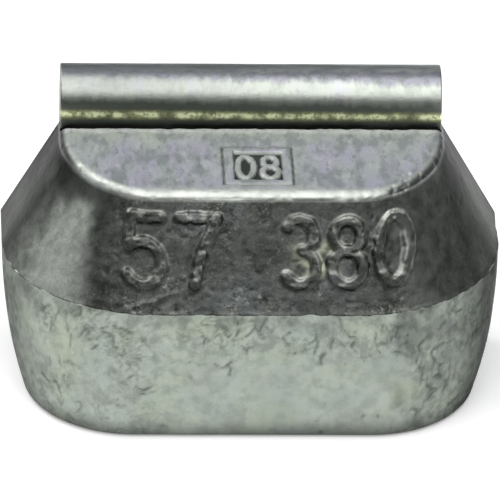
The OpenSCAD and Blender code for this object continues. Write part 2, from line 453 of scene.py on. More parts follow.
def cracks(grid, s, h, busy, mid, fine, stray):
    """Cold laps and finer cracks in the skin, from 0 to 1."""
    warp = perlin(grid, 1.5, (40.0, 3.0, 1.0), 3)
    warped = grid + 1.1 * np.stack([warp, warp * 0, perlin(grid, 1.4, (7.0, 70.0, 1.0))], -1)
    vein_a = crack_lines(perlin(warped, 1.6, (0.0, 17.0, 5.0)), 0.12)
    vein_b = crack_lines(perlin(warped * (1, 1, 0.6), 1.0, (9.0, 1.0, 15.0)), 0.10)
    crowd = smooth(-0.2, 0.2, perlin(grid, 2.6, (21.0, 8.0, 3.0))) * busy
    breaks = smooth(-0.25, 0.15, perlin(grid, 0.9, (2.0, 28.0, 13.0)))
    vein = np.clip((1.2 * vein_a + 0.9 * vein_b) * crowd * (0.25 + 0.75 * breaks), 0, 1)
    lap = stroke_distance(s + 0.25 * mid + 0.30 * stray, h + 0.25 * stray + 0.15 * fine, LAPS)
    lap = np.exp(-(lap / 0.10) ** 2) * (0.25 + 0.75 * smooth(-0.25, 0.15, fine + 0.5 * stray))
    return np.maximum(vein * 0.8, lap)


def front_figures(grid, x, s, t, where, mid, fine, stray):
    """The raised figures' height, a mask of the painted highlight on their upper and right sides, and a mask
    of the painted shade on their lower and left sides.
    """
    # The strokes wander in width, and are chipped in places
    chips = smooth(0.05, 0.35, perlin(grid, 0.75, (14.0, 6.0, 33.0), 2))
    d = stroke_distance(x, t, FRONT_FIGURES) + 0.08 * fine + 0.04 * mid + 0.07 * stray
    side = smooth(STROKE_HALF - STROKE_SIDE / 2, STROKE_HALF + STROKE_SIDE / 2, d)
    mark = STROKE_RISE * (1 + 0.4 * mid) * (1 - 0.22 * chips) * (1 - side)
    mark = mark * where * (1 - smooth(13.0, 15.0, np.abs(s)))
    slope_up = np.gradient(mark, axis=0) / np.maximum(np.gradient(t, axis=0), 0.02)
    slope_right = np.gradient(mark, axis=1) / np.maximum(np.gradient(s, axis=1), 0.02)
    painted_highlight = np.clip(-slope_up, 0, 2) * 0.6 + np.clip(-slope_right, 0, 2) * 0.25
    painted_highlight = np.clip(painted_highlight * (0.75 + 1.6 * fine), 0, 1)
    shaded = np.clip(np.clip(slope_up, 0, 2) * 0.8 + np.clip(slope_right, 0, 2) * 0.3, 0, 1)
    return mark, painted_highlight, shaded


def shoulder_panel(x, y, fine):
    """The square frame's relief, and masks of its border and of its dark ground."""
    across, along = np.abs(x - PANEL_X) - PANEL_W, np.abs(y - PANEL_Y) - PANEL_L
    inside = np.maximum(across, along) + 0.03 * fine
    border = window(-0.62, -0.5, -0.14, -0.02, inside)
    field = 1 - smooth(-0.74, -0.60, inside)
    groove = window(-0.06, 0.03, 0.12, 0.22, inside)
    digit = 1 - smooth(0.16, 0.28, stroke_distance(x, y, PANEL_FIGURES) + 0.05 * fine)
    relief = BORDER_RISE * border - GROOVE_SINK * groove + (PANEL_FIGURE_RISE * digit - GROUND_SINK) * field
    ground = np.clip(field * (1 - digit) + 0.85 * groove, 0, 1)
    return relief, border, ground


def casting_surface(grid, zone):
    """Moves the smooth form to the real one: figures, wrinkles, pits and flash. Gives masks as well, among
    them the painted light and shade.
    """
    n = grid_normals(grid)
    lower, upper, shoulder, top, base = ((zone == name)[:, None]
                                         for name in ("lower", "upper", "shoulder", "top", "base"))
    zones = (lower, upper, shoulder)
    x, y, z = grid[..., 0], grid[..., 1], grid[..., 2]
    # Places on the walls: s along them from the middle of the front, h above the parting line, t up the slope
    girdle = upper_ring(0.0)
    step = np.linalg.norm(np.diff(girdle, axis=0), axis=1)
    s_col = np.concatenate([[0.0], np.cumsum(step)])
    s = np.broadcast_to((s_col - s_col[-1] / 2)[None, :], x.shape)
    turn = np.broadcast_to(column_turns()[None, :], x.shape)
    h = z - LOWER_H
    t = h * math.hypot(UPPER_FRONT, UPPER_H) / UPPER_H
    rng = np.random.default_rng(7)

    broad = perlin(grid, BROAD, (3.1, 0.2, 7.7))
    mid = perlin(grid, MID, (11.0, 5.0, 2.0))
    fine = perlin(grid, FINE, (1.0, 9.0, 4.0))
    stray = perlin(grid, 0.9, (31.0, 2.0, 6.0), 2)
    ragged = perlin(grid, 0.8, (5.0, 50.0, 2.0), 3)
    busy = casting_busy(s, h, zones, mid, broad)
    vein = cracks(grid, s, h, busy, mid, fine, stray)

    # Pits: how many, where along and up the wall or over the shoulder, their radius and their depth
    low_pits = pits(s, h, rng, 60, (-27, 27), (-10, -0.2), (0.06, 0.16), (0.03, 0.09))
    up_pits = pits(s, t, rng, 190, (-27, 27), (0.1, 8.6), (0.06, 0.17), (0.04, 0.10))
    top_pits = pits(x, y, rng, 60, (-13, 13), (-3, 6), (0.06, 0.14), (0.02, 0.05))

    mark, painted_highlight, shaded = front_figures(grid, x, s, t, upper | shoulder, mid, fine, stray)
    scar = np.exp(-(stroke_distance(x, t + 0.1 * mid, [SCAR]) / 0.16) ** 2)
    scuff = np.exp(-((x - 4.3) / 1.5) ** 4 - ((t - 4.0) / 1.4) ** 4) * smooth(-0.45, 0.1, mid + 0.6 * fine)
    scuff = scuff * (1 - np.clip(mark / STROKE_RISE, 0, 1)) * upper
    plate, border, ground = shoulder_panel(x, y, fine)

    rough = 0.3 + 0.7 * busy
    d = lower * (LOWER_BROAD * broad + (LOWER_MID * mid + LOWER_FINE * fine) * rough
                 - CRACK_DEPTH * vein - low_pits - LOWER_SINK)
    d += upper * (UPPER_BROAD * broad + (UPPER_MID * mid + UPPER_FINE * fine) * rough
                  - up_pits * rough + mark + SCAR_RISE * scar - UPPER_SINK)
    # The rounding is ragged round the right-hand corner
    right = window(20, 30, 60, 75, turn)
    d += shoulder * (ROUNDING_MID * mid - ROUNDING_CHIP * np.maximum(ragged, 0) * (1 + 3 * right))
    d += top * (TOP_BROAD * broad + TOP_MID * mid - top_pits * 0.6 + plate)
    flash = np.exp(-(h / FLASH_HALF) ** 2) * (1 + 1.8 * perlin(grid, 1.7, (2.0, 8.0, 60.0), 2))
    d += FLASH_RISE * flash * (1 - 0.97 * smooth(30, 50, -turn)) * (lower | upper)
    # The flat rear face and the base stay flat
    keep = smooth(0.0, 0.5, RIM_Y - y) * smooth(0.0, 1.2, z + 0.25) * ~base
    moved = grid + n * (d * keep)[..., None]

    # The shoulder's rear edge is rounded down into the groove in front of the clip
    edge_y = CLIP_FRONT_Y - GAP_W
    q = np.clip(moved[..., 1] - (edge_y - REAR_ROUND) + 0.12 * ragged * top, 0.0, REAR_ROUND)
    ceiling = SHOULDER_Z - (REAR_ROUND - np.sqrt(np.maximum(REAR_ROUND ** 2 - q ** 2, 0)))
    moved[..., 2] = np.minimum(moved[..., 2], ceiling)

    lo, hi = (np.array(c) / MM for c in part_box("cast_body"))
    moved = np.clip(moved, lo, hi)
    masks = {
        "vein": vein * lower,
        "pit": np.clip((low_pits * lower + up_pits * upper + top_pits * top) / 0.08, 0, 1),
        # Painted highlight on the figures' upper and right sides and on the panel's border
        "edge": np.maximum(painted_highlight * upper, top * border * np.clip(0.5 + 1.2 * fine, 0, 0.9)),
        "scuff": np.clip(scuff, 0, 1),
        "field": top * ground,
        # Painted reflection and shade over the casting, with painted shade on the figures' lower and left
        # sides
        "tone": casting_painted_light_and_tone(turn, s, t, z, zones, mid, broad, fine) * (1 - 0.85 * shaded * upper),
        "busy": busy,
        "warm": sum(np.exp(-((s - a) / w) ** 2 - ((h - b) / v) ** 2) for a, b, w, v in WARM),
    }
    return moved, masks


def grid_mesh(name, grid, masks):
    """A mesh through a grid of points, closed by one face over its open edge."""
    rows, cols = grid.shape[:2]
    index = np.arange(rows * cols).reshape(rows, cols)
    quads = np.stack([index[:-1, :-1], index[:-1, 1:], index[1:, 1:], index[1:, :-1]], -1).reshape(-1, 4)
    mesh = bpy.data.meshes.new(name)
    mesh.from_pydata((grid.reshape(-1, 3) * MM).tolist(), [], quads.tolist())
    for key, values in masks.items():
        layer = mesh.attributes.new(key, "FLOAT", "POINT")
        layer.data.foreach_set("value", np.ascontiguousarray(values, dtype=np.float32).ravel())
    bm = bmesh.new()
    bm.from_mesh(mesh)
    bmesh.ops.remove_doubles(bm, verts=bm.verts, dist=2e-7)
    bmesh.ops.dissolve_degenerate(bm, edges=bm.edges, dist=1e-8)
    open_edges = [e for e in bm.edges if e.is_boundary]
    made = bmesh.ops.holes_fill(bm, edges=open_edges, sides=0)["faces"]
    bmesh.ops.triangulate(bm, faces=made)
    bmesh.ops.recalc_face_normals(bm, faces=bm.faces)
    bm.to_mesh(mesh)
    bm.free()
    return mesh


# Clip

# Rounding of the strip's long edges in millimetres, and the number of faces across it
STRIP_BEVEL, STRIP_COLS = 0.12, 84


def clip_path():
    """Centre line of the strip's side profile, as points and headings, from the tail to the lip."""
    p = np.array([CLIP_FRONT_Y + CLIP_T / 2, TAIL_Z])
    heading = math.radians(90)
    points, headings, run = [p.copy()], [heading], [0.0]

    def go(dist, turn=0.0, steps=1):
        nonlocal p, heading
        for _ in range(steps):
            half = turn / steps / 2
            length = dist / steps
            chord = length if turn == 0 else length * math.sin(abs(half)) / abs(half)
            heading += half
            p = p + chord * np.array([math.cos(heading), math.sin(heading)])
            heading += half
            points.append(p.copy())
            headings.append(heading)
            run.append(run[-1] + length)

    # The rounded corners at both ends get finer steps
    go(0.4 * STRIP_CORNER_R, steps=4)
    go(0.6 * STRIP_CORNER_R, steps=4)
    go(TAIL_H - STRIP_CORNER_R, steps=16)
    go(RISE, steps=5)
    turn = math.radians(HOOK_TURN)
    go((HOOK_R + CLIP_T / 2) * turn, -turn, 62)
    go(JAW_H, steps=14)
    turn = math.radians(LIP_TURN)
    go((LIP_R + CLIP_T / 2) * turn, turn, 14)
    go(LIP_H - STRIP_CORNER_R, steps=2)
    go(0.6 * STRIP_CORNER_R, steps=4)
    go(0.4 * STRIP_CORNER_R, steps=4)
    return np.array(points), np.array(headings), np.array(run)


def clip_mesh():
    """The strip as loops of points round its section, one for each point of its path."""
    points, headings, run = clip_path()
    total = run[-1]
    end = np.minimum(run, total - run)
    q = np.clip(STRIP_CORNER_R - end, 0, STRIP_CORNER_R)
    half_w = CLIP_W / 2 - (STRIP_CORNER_R - np.sqrt(np.maximum(STRIP_CORNER_R ** 2 - q ** 2, 0)))
    normal = np.stack([-np.sin(headings), np.cos(headings)], -1)
    share = np.linspace(-1, 1, STRIP_COLS + 1)
    corner = np.radians(np.linspace(0, 90, 5))
    bevel = STRIP_BEVEL
    rows = []
    for k in range(len(points)):
        # Half a loop round the strip's section: across its outer side and down its right edge
        flat = half_w[k] - bevel
        half = [(u * flat, CLIP_T / 2) for u in share]
        half += [(flat + bevel * math.sin(a), CLIP_T / 2 - bevel + bevel * math.cos(a)) for a in corner[1:]]
        half += [(flat + bevel * math.cos(a), bevel - CLIP_T / 2 - bevel * math.sin(a)) for a in corner]
        # The other half is the same one turned by 180 degrees
        row = np.concatenate([half, -np.array(half[1:-1])])
        off = row[:, 1:2] * normal[k][None, :]
        rows.append(np.column_stack([row[:, 0], points[k][0] + off[:, 0], points[k][1] + off[:, 1]]))
    grid = np.array(rows)
    count = grid.shape[1]
    index = np.arange(grid.shape[0] * count).reshape(grid.shape[0], count)
    nxt = np.roll(index, -1, axis=1)
    quads = np.stack([index[:-1], nxt[:-1], nxt[1:], index[1:]], -1).reshape(-1, 4).tolist()
    quads += [index[0][::-1].tolist(), index[-1].tolist()]
    mesh = bpy.data.meshes.new("spring_clip_detail")
    mesh.from_pydata((grid.reshape(-1, 3) * MM).tolist(), [], quads)
    bm = bmesh.new()
    bm.from_mesh(mesh)
    bmesh.ops.triangulate(bm, faces=[f for f in bm.faces if len(f.verts) > 4])
    bmesh.ops.recalc_face_normals(bm, faces=bm.faces)
    bm.to_mesh(mesh)
    bm.free()
    return mesh


def box_object(name, lo, hi):
    """A box between two corners in millimetres."""
    bm = bmesh.new()
    bmesh.ops.create_cube(bm, size=1.0)
    for v in bm.verts:
        for i in range(3):
            v.co[i] = (lo[i] if v.co[i] < 0 else hi[i]) * MM
    mesh = bpy.data.meshes.new(name)
    bm.to_mesh(mesh)
    bm.free()
    return new_object(name, mesh)


def peg_object(name, x):
    """A round peg through one anchor hole."""
    bm = bmesh.new()
    bmesh.ops.create_cone(bm, cap_ends=True, segments=64, radius1=ANCHOR_D / 2 * MM,
                          radius2=ANCHOR_D / 2 * MM, depth=3 * CLIP_T * MM,
                          matrix=Matrix.Translation(Vector((x, RIM_Y - CLIP_T / 2, ANCHOR_Z)) * MM)
                          @ Matrix.Rotation(math.radians(90), 4, "X"))
    mesh = bpy.data.meshes.new(name)
    bm.to_mesh(mesh)
    bm.free()
    return new_object(name, mesh)


# Materials

class Nodes:
    """A short way to write a material's node tree."""

    def __init__(self, name):
        self.mat = bpy.data.materials.new(name)
        self.mat.use_nodes = True
        self.tree = self.mat.node_tree
        self.tree.nodes.clear()
        self.out = self.tree.nodes.new("ShaderNodeOutputMaterial")
        self.bsdf = self.tree.nodes.new("ShaderNodeBsdfPrincipled")
        self.tree.links.new(self.bsdf.outputs[0], self.out.inputs[0])

    def node(self, kind, **sockets):
        n = self.tree.nodes.new(kind)
        for key, value in sockets.items():
            self.put(n.inputs[key], value)
        return n

    def put(self, socket, value):
        if isinstance(value, bpy.types.NodeSocket):
            self.tree.links.new(value, socket)
        elif isinstance(value, (tuple, list)) and len(value) == 3 and socket.type == "RGBA":
            socket.default_value = (*value, 1.0)
        else:
            socket.default_value = value

    def shade(self, name, value):
        """Sets or links one of the shader's own sockets."""
        self.put(self.bsdf.inputs[name], value)

    def stretch(self, vec, scale):
        return self.node("ShaderNodeMapping", Vector=vec, Scale=scale).outputs[0]

    def coords(self):
        """The surface's own coordinates, in millimetres."""
        return self.stretch(self.node("ShaderNodeTexCoord").outputs["Object"], (1000, 1000, 1000))

    def axes(self, vec):
        return self.node("ShaderNodeSeparateXYZ", Vector=vec).outputs

    def noise(self, vec, scale, detail=3.0, rough=0.55, distortion=0.0):
        """Noise from 0 to 1. scale is the number of bumps a millimetre."""
        return self.node("ShaderNodeTexNoise", Vector=vec, Scale=scale, Detail=detail, Roughness=rough,
                         Distortion=distortion).outputs[0]

    def math(self, op, a, b=0.0):
        n = self.tree.nodes.new("ShaderNodeMath")
        n.operation = op
        self.put(n.inputs[0], a)
        self.put(n.inputs[1], b)
        return n.outputs[0]

    def product(self, first, *more):
        for value in more:
            first = self.math("MULTIPLY", first, value)
        return first

    def add(self, first, *more):
        for value in more:
            first = self.math("ADD", first, value)
        return first

    def span(self, value, lo, hi, out_lo=0.0, out_hi=1.0):
        """Goes from out_lo where the value is lo to out_hi where it is hi, and stays level beyond them."""
        ends = {"From Min": lo, "From Max": hi, "To Min": out_lo, "To Max": out_hi}
        return self.node("ShaderNodeMapRange", Value=value, **ends).outputs[0]

    def sway(self, value, amount):
        """A noise turned into a shift of up to that amount either way."""
        return self.span(value, 0.3, 0.7, -amount, amount)

    def mix(self, fac, a, b):
        """A colour between a and b."""
        n = self.tree.nodes.new("ShaderNodeMix")
        n.data_type = "RGBA"
        self.put(n.inputs[0], fac)
        self.put(n.inputs[6], a)
        self.put(n.inputs[7], b)
        return n.outputs[2]

    def mixf(self, fac, a, b):
        """A number between a and b."""
        n = self.tree.nodes.new("ShaderNodeMix")
        n.data_type = "FLOAT"
        self.put(n.inputs[0], fac)
        self.put(n.inputs[2], a)
        self.put(n.inputs[3], b)
        return n.outputs[0]

    def coat(self, color, paint, *masks):
        """Lays a paint over a colour, as thick as the masks' product."""
        return self.mix(self.product(*masks), color, paint)

    def scale(self, color, factor):
        n = self.tree.nodes.new("ShaderNodeVectorMath")
        n.operation = "SCALE"
        self.put(n.inputs[0], color)
        self.put(n.inputs["Scale"], factor)
        return n.outputs[0]

    def attr(self, name):
        n = self.tree.nodes.new("ShaderNodeAttribute")
        n.attribute_name = name
        return n.outputs["Fac"]

    def bump(self, height, strength, distance):
        return self.node("ShaderNodeBump", Height=height, Strength=strength, Distance=distance).outputs[0]


# Colours of the casting's lower wall
OXIDE_PALE, OXIDE_GREY = (0.49, 0.54, 0.48), (0.42, 0.465, 0.42)
OXIDE_GREEN, OXIDE_BLUE = (0.45, 0.51, 0.40), (0.42, 0.49, 0.455)
OXIDE_LUMP, OXIDE_MOTTLE, OXIDE_HOLLOW = (0.56, 0.61, 0.55), (0.30, 0.335, 0.30), (0.31, 0.35, 0.31)
OXIDE_WARM, OXIDE_CRACK = (0.50, 0.55, 0.41), (0.13, 0.155, 0.13)
# Colours of its upper walls
SKIN_DARK, SKIN_LIGHT, SKIN_BLUISH = (0.036, 0.040, 0.035), (0.094, 0.100, 0.092), (0.105, 0.115, 0.118)
SKIN_SPECK, SKIN_SCAB, SKIN_HOLLOW = (0.36, 0.37, 0.33), (0.26, 0.27, 0.235), (0.018, 0.020, 0.018)
SKIN_SCUFF, FIGURE_HIGHLIGHT = (0.39, 0.41, 0.31), (0.44, 0.45, 0.41)
# Colours of its shoulder
TOP_GREY, TOP_LILAC, TOP_GREEN = (0.42, 0.455, 0.445), (0.43, 0.425, 0.50), (0.41, 0.46, 0.39)
TOP_STAIN, TOP_SPOT, TOP_SHINE = (0.265, 0.29, 0.295), (0.20, 0.21, 0.225), (0.52, 0.55, 0.55)
TOP_REAR_HIGHLIGHT, TOP_FRONT_PALE = (0.62, 0.63, 0.66), (0.56, 0.58, 0.54)
RUBBED_BRIGHT, RUBBED_DULL, RUBBED_FRINGE = (0.53, 0.56, 0.51), (0.41, 0.435, 0.40), (0.36, 0.38, 0.22)
PANEL_GROUND = (0.035, 0.04, 0.035)
# Colours of its pits, of the painted shadow in its groove and of its flat rear face
PIT_DARK, GROOVE_SHADOW = (0.05, 0.055, 0.05), (0.012, 0.012, 0.013)
REAR_PALE, REAR_DARK = (0.36, 0.40, 0.36), (0.27, 0.30, 0.27)
# Colours of the clip: its plating, the painted shade on its roll, and the painted dark reflection and
# mirrored line on its foot
PLATE_GREEN, PLATE_GREY, PLATE_SPOT = (0.54, 0.575, 0.51), (0.47, 0.495, 0.475), (0.35, 0.37, 0.36)
PLATE_WISP, PLATE_LILAC = (0.38, 0.42, 0.37), (0.52, 0.52, 0.585)
ROLL_LILAC, ROLL_DARK = (0.275, 0.275, 0.315), (0.20, 0.215, 0.22)
CROWN_PALE, CROWN_DARK = (0.60, 0.63, 0.61), (0.38, 0.40, 0.39)
FOOT_DARK_REFLECTION, MIRROR_LINE_EDGE, MIRROR_LINE_PALE = (0.06, 0.07, 0.055), (0.44, 0.46, 0.18), (0.90, 0.94, 0.60)
# Tints that keep the glare down on the upper and the lower wall, and leave the shoulder as it is
UPPER_GLARE, LOWER_GLARE, FULL_GLARE = (0.62, 0.62, 0.62), (0.5, 0.5, 0.5), (1.0, 1.0, 1.0)
# Metal and specular level of the walls and the shoulder, where an oxide skin dulls the metal
UPPER_METAL, LOWER_METAL, TOP_METAL = 0.85, 0.35, 0.35
UPPER_SPECULAR, LOWER_SPECULAR = 0.5, 0.2
# Heights of the bumps in the two materials, in metres
ZINC_BUMP, STEEL_BUMP = 0.00009, 0.00004


def lower_wall_color(m, vec, cloud, mottle, lumps, busy):
    """Dull pale oxide, greener or bluer in clouds, with dark wrinkles."""
    tint = m.noise(vec, 0.45, 3.0, 0.6)
    color = m.mix(m.span(cloud, 0.40, 0.62), OXIDE_PALE, OXIDE_GREY)
    color = m.coat(color, OXIDE_GREEN, m.span(tint, 0.50, 0.60, 0.0, 0.5))
    color = m.coat(color, OXIDE_BLUE, m.span(tint, 0.46, 0.36, 0.0, 0.5))
    color = m.coat(color, OXIDE_LUMP, m.span(lumps, 0.46, 0.34, 0.0, 0.6), busy)
    color = m.coat(color, OXIDE_MOTTLE, m.span(mottle, 0.46, 0.62), m.mixf(busy, 0.35, 0.85))
    color = m.coat(color, OXIDE_HOLLOW, m.span(lumps, 0.54, 0.72, 0.0, 0.6), busy)
    color = m.coat(color, OXIDE_WARM, m.attr("warm"), m.span(mottle, 0.35, 0.6, 0.7, 0.3))
    return m.coat(color, OXIDE_CRACK, m.attr("vein"), 0.9)


def upper_wall_color(m, vec, cloud, mottle, grain, busy):
    """Smooth dark skin with pale scabs and scuffs, painted glints on its specks, and a painted highlight on
    the figures' edges.
    """
    scab = m.noise(vec, 2.3, 4.0, 0.6)
    rough_patch = m.product(m.span(m.noise(vec, 0.6, 2.0), 0.42, 0.56), busy)
    light = m.span(mottle, 0.36, 0.62, m.mixf(busy, 0.3, 0.0), m.mixf(busy, 0.65, 1.0))
    color = m.mix(light, SKIN_DARK, SKIN_LIGHT)
    color = m.coat(color, SKIN_BLUISH, m.span(cloud, 0.50, 0.62, 0.0, 0.7), busy)
    color = m.scale(color, m.span(grain, 0.3, 0.7, m.mixf(busy, 0.88, 0.75), m.mixf(busy, 1.12, 1.25)))
    # Painted glints: light specks on the grain's bumps
    color = m.coat(color, SKIN_SPECK, m.span(grain, 0.58, 0.66, 0.0, 0.45), rough_patch)
    color = m.coat(color, SKIN_SCAB, m.span(scab, 0.58, 0.66, 0.0, 0.7), rough_patch)
    color = m.coat(color, SKIN_HOLLOW, m.span(scab, 0.43, 0.35, 0.0, 0.8), busy)
    color = m.coat(color, SKIN_SCUFF, m.attr("scuff"), 0.9)
    # Painted highlight on the figures' edges
    return m.coat(color, FIGURE_HIGHLIGHT, m.attr("edge"))


def shoulder_color(m, vec, wobble, mottle, lumps, grain):
    """Brighter metal, lilac in places and greener towards the clip, with a painted highlight along its rear
    edge and a rubbed rounding.
    """
    _, y, z = m.axes(vec)
    drawn = m.stretch(vec, (1.0, 0.4, 1.0))
    color = m.mix(m.span(m.noise(drawn, 0.5, 4.0, 0.6), 0.44, 0.56), TOP_GREY, TOP_LILAC)
    color = m.coat(color, TOP_GREEN, m.span(y, 3.0, 5.0, 0.0, 0.6))
    color = m.coat(color, TOP_STAIN, m.span(m.noise(drawn, 0.9, 3.0, 0.55), 0.45, 0.60, 0.0, 0.9))
    color = m.coat(color, TOP_SPOT, m.span(m.noise(drawn, 2.2, 3.0, 0.6), 0.57, 0.69, 0.0, 0.6))
    color = m.coat(color, TOP_SHINE, m.span(m.noise(drawn, 1.5, 3.0, 0.6), 0.55, 0.68, 0.0, 0.6))
    color = m.scale(color, m.span(grain, 0.3, 0.7, 0.92, 1.08))
    # Painted highlight along the rear edge above the groove
    rear_edge = m.add(y, m.sway(wobble, 0.2))
    painted_highlight = m.span(rear_edge, CLIP_FRONT_Y - GAP_W - 1.0, CLIP_FRONT_Y - GAP_W - 0.6, 0.0, 0.9)
    color = m.coat(color, TOP_REAR_HIGHLIGHT, painted_highlight, m.span(lumps, 0.35, 0.6, 1.0, 0.45))
    color = m.coat(color, TOP_FRONT_PALE, m.span(y, -2.6, -3.6, 0.0, 0.8))
    # The rounding is rubbed smooth and bright, with a greenish fringe below
    ragged = m.add(z, m.sway(lumps, 0.12))
    rubbed = m.product(m.span(ragged, SHOULDER_Z - 0.70, SHOULDER_Z - 0.45),
                       m.span(z, SHOULDER_Z - 0.02, SHOULDER_Z - 0.10),
                       m.span(y, RIM_Y - 3.0, RIM_Y - 5.0, 0.0, 0.85))
    color = m.mix(rubbed, color, m.mix(m.span(mottle, 0.35, 0.65), RUBBED_BRIGHT, RUBBED_DULL))
    fringe = m.span(ragged, SHOULDER_Z - 0.62, SHOULDER_Z - 0.70)
    color = m.coat(color, RUBBED_FRINGE, fringe, m.span(mottle, 0.45, 0.55), 0.7)
    return m.coat(color, PANEL_GROUND, m.attr("field"), 0.92)


def groove_shadow(m, vec):
    """Where shadow is painted: 1 in the groove in front of the clip, and 0 elsewhere."""
    x, y, z = m.axes(vec)
    return m.product(m.span(y, CLIP_FRONT_Y - GAP_W - 0.12, CLIP_FRONT_Y - GAP_W + 0.02),
                     m.span(z, SHOULDER_Z - 0.15, SHOULDER_Z - 0.45),
                     m.span(z, SHOULDER_Z - 2.6, SHOULDER_Z - 1.9),
                     m.span(y, RIM_Y - 0.15, RIM_Y - 0.4),
                     m.span(m.math("ABSOLUTE", x), CLIP_W / 2 + 0.03, CLIP_W / 2 + 0.01))


def zinc_material():
    m = Nodes("zinc_casting")
    vec = m.coords()
    _, y, z = m.axes(vec)
    wobble = m.noise(vec, 0.9, 4.0)
    cloud = m.noise(vec, 0.35, 4.0, 0.6)
    mottle = m.noise(vec, 1.1, 4.0, 0.6)
    lumps = m.noise(vec, 2.4, 3.0, 0.6)
    grain = m.noise(vec, 6.0, 4.0, 0.7)
    busy = m.attr("busy")
    edge = m.add(z, m.sway(wobble, 0.07))
    is_lower = m.math("LESS_THAN", edge, LOWER_H)
    is_top = m.span(z, SHOULDER_Z - 0.75, SHOULDER_Z - 0.35)

    color = m.mix(is_lower, upper_wall_color(m, vec, cloud, mottle, grain, busy),
                  lower_wall_color(m, vec, cloud, mottle, lumps, busy))
    color = m.mix(is_top, color, shoulder_color(m, vec, wobble, mottle, lumps, grain))
    color = m.coat(color, PIT_DARK, m.attr("pit"), 0.7)
    # The tone mask brings in the painted reflection and shade
    color = m.scale(color, m.attr("tone"))
    rear = m.mix(m.span(mottle, 0.35, 0.65), REAR_PALE, REAR_DARK)
    color = m.mix(m.span(y, RIM_Y - 0.03, RIM_Y - 0.005), color, rear)
    # Painted shadow in the groove in front of the clip
    color = m.coat(color, GROOVE_SHADOW, groove_shadow(m, vec))
    m.shade("Base Color", color)

    rough = m.mixf(is_lower, m.span(mottle, 0.3, 0.7, 0.32, 0.44), m.span(mottle, 0.3, 0.7, 0.55, 0.70))
    rough = m.mixf(is_top, rough, m.span(mottle, 0.3, 0.7, 0.32, 0.46))
    m.shade("Roughness", rough)
    flat_top = m.span(z, SHOULDER_Z - 0.25, SHOULDER_Z - 0.08)
    m.shade("Metallic", m.mixf(flat_top, m.mixf(is_lower, UPPER_METAL, LOWER_METAL), TOP_METAL))
    m.shade("Specular IOR Level", m.mixf(is_lower, UPPER_SPECULAR, LOWER_SPECULAR))
    glare = m.mix(is_lower, UPPER_GLARE, LOWER_GLARE)
    m.shade("Specular Tint", m.mix(is_top, glare, FULL_GLARE))
    height = m.add(m.product(mottle, 0.6), m.product(grain, m.mixf(busy, 0.08, 0.35)),
                   m.product(lumps, busy, m.mixf(is_lower, 0.5, 0.7)))
    m.shade("Normal", m.bump(height, 0.6, ZINC_BUMP))
    return m.mat


def steel_material():
    m = Nodes("plated_steel")
    vec = m.coords()
    x, y, z = m.axes(vec)
    cloud = m.noise(m.stretch(vec, (0.25, 1.0, 1.0)), 0.8, 4.0, 0.6, 0.4)
    wisps = m.noise(m.stretch(vec, (1.0, 0.35, 0.35)), 0.9, 4.0, 0.6, 0.3)
    spots = m.noise(vec, 1.6, 4.0, 0.62)
    grain = m.noise(vec, 9.0, 3.0, 0.7)
    color = m.mix(m.span(cloud, 0.35, 0.7), PLATE_GREEN, PLATE_GREY)
    color = m.coat(color, PLATE_SPOT, m.span(spots, 0.52, 0.70, 0.0, 0.5))
    color = m.coat(color, PLATE_WISP, m.span(wisps, 0.50, 0.64, 0.0, 0.55))
    color = m.coat(color, PLATE_LILAC, m.span(wisps, 0.46, 0.36, 0.0, 0.5))
    # The plating is duller towards the left end and paler over its crown; up the roll it is lilac and
    # blotched, and darkened as painted shade that bounds its highlight
    along = m.add(x, m.sway(cloud, 3.0))
    color = m.scale(color, m.span(along, -7.0, 5.0, 0.62, 0.82))
    height = m.add(z, m.product(x, 0.012), m.sway(wisps, 0.22))
    blotched = m.mix(m.span(spots, 0.44, 0.58), ROLL_LILAC, ROLL_DARK)
    color = m.mix(m.span(height, SHOULDER_Z + 2.85, SHOULDER_Z + 3.12), color, blotched)
    back = m.add(y, m.sway(spots, 0.25))
    crown = m.product(m.span(back, HOOK_Y - 0.75, HOOK_Y - 0.30),
                      m.span(back, HOOK_Y + 1.6, HOOK_Y + 0.6, 0.25, 1.0),
                      m.span(x, -8.0, 8.0, 0.55, 1.0))
    color = m.mix(crown, color, m.mix(m.span(cloud, 0.45, 0.58), CROWN_PALE, CROWN_DARK))
    # Painted dark reflection and shadow on the strip's foot, with a greenish yellow line along it: a painted
    # reflection of the shoulder's bright rear edge
    front = m.span(y, RIM_Y - 0.1, RIM_Y - 0.4)
    color = m.coat(color, FOOT_DARK_REFLECTION, m.span(height, SHOULDER_Z + 2.35, SHOULDER_Z + 1.5), front, 0.85)
    line = m.add(z, m.product(x, 0.004), m.sway(spots, 0.05))
    patches = m.noise(vec, 0.75, 3.0, 0.5)
    crumbs = m.noise(vec, 3.4, 3.0, 0.6)
    mirror_line = m.product(m.span(line, SHOULDER_Z + 0.26, SHOULDER_Z + 0.60),
                      m.span(line, SHOULDER_Z + 1.18, SHOULDER_Z + 0.82),
                      m.span(y, CLIP_FRONT_Y + 0.3, CLIP_FRONT_Y + 0.1),
                      m.span(patches, 0.38, 0.54, 0.4, 1.0),
                      m.span(crumbs, 0.62, 0.52, 0.65, 1.0))
    color = m.mix(mirror_line, color, m.mix(m.span(mirror_line, 0.3, 0.9), MIRROR_LINE_EDGE, MIRROR_LINE_PALE))
    m.shade("Base Color", color)
    m.shade("Metallic", 1.0)
    m.shade("Roughness", m.span(cloud, 0.3, 0.7, 0.34, 0.44))
    m.shade("Normal", m.bump(m.add(grain, m.product(spots, 2.0)), 0.4, STEEL_BUMP))
    return m.mat


# Build the pieces

# Edges sharper than this, in degrees, stay sharp in the shading
SHARP_ANGLE = 50


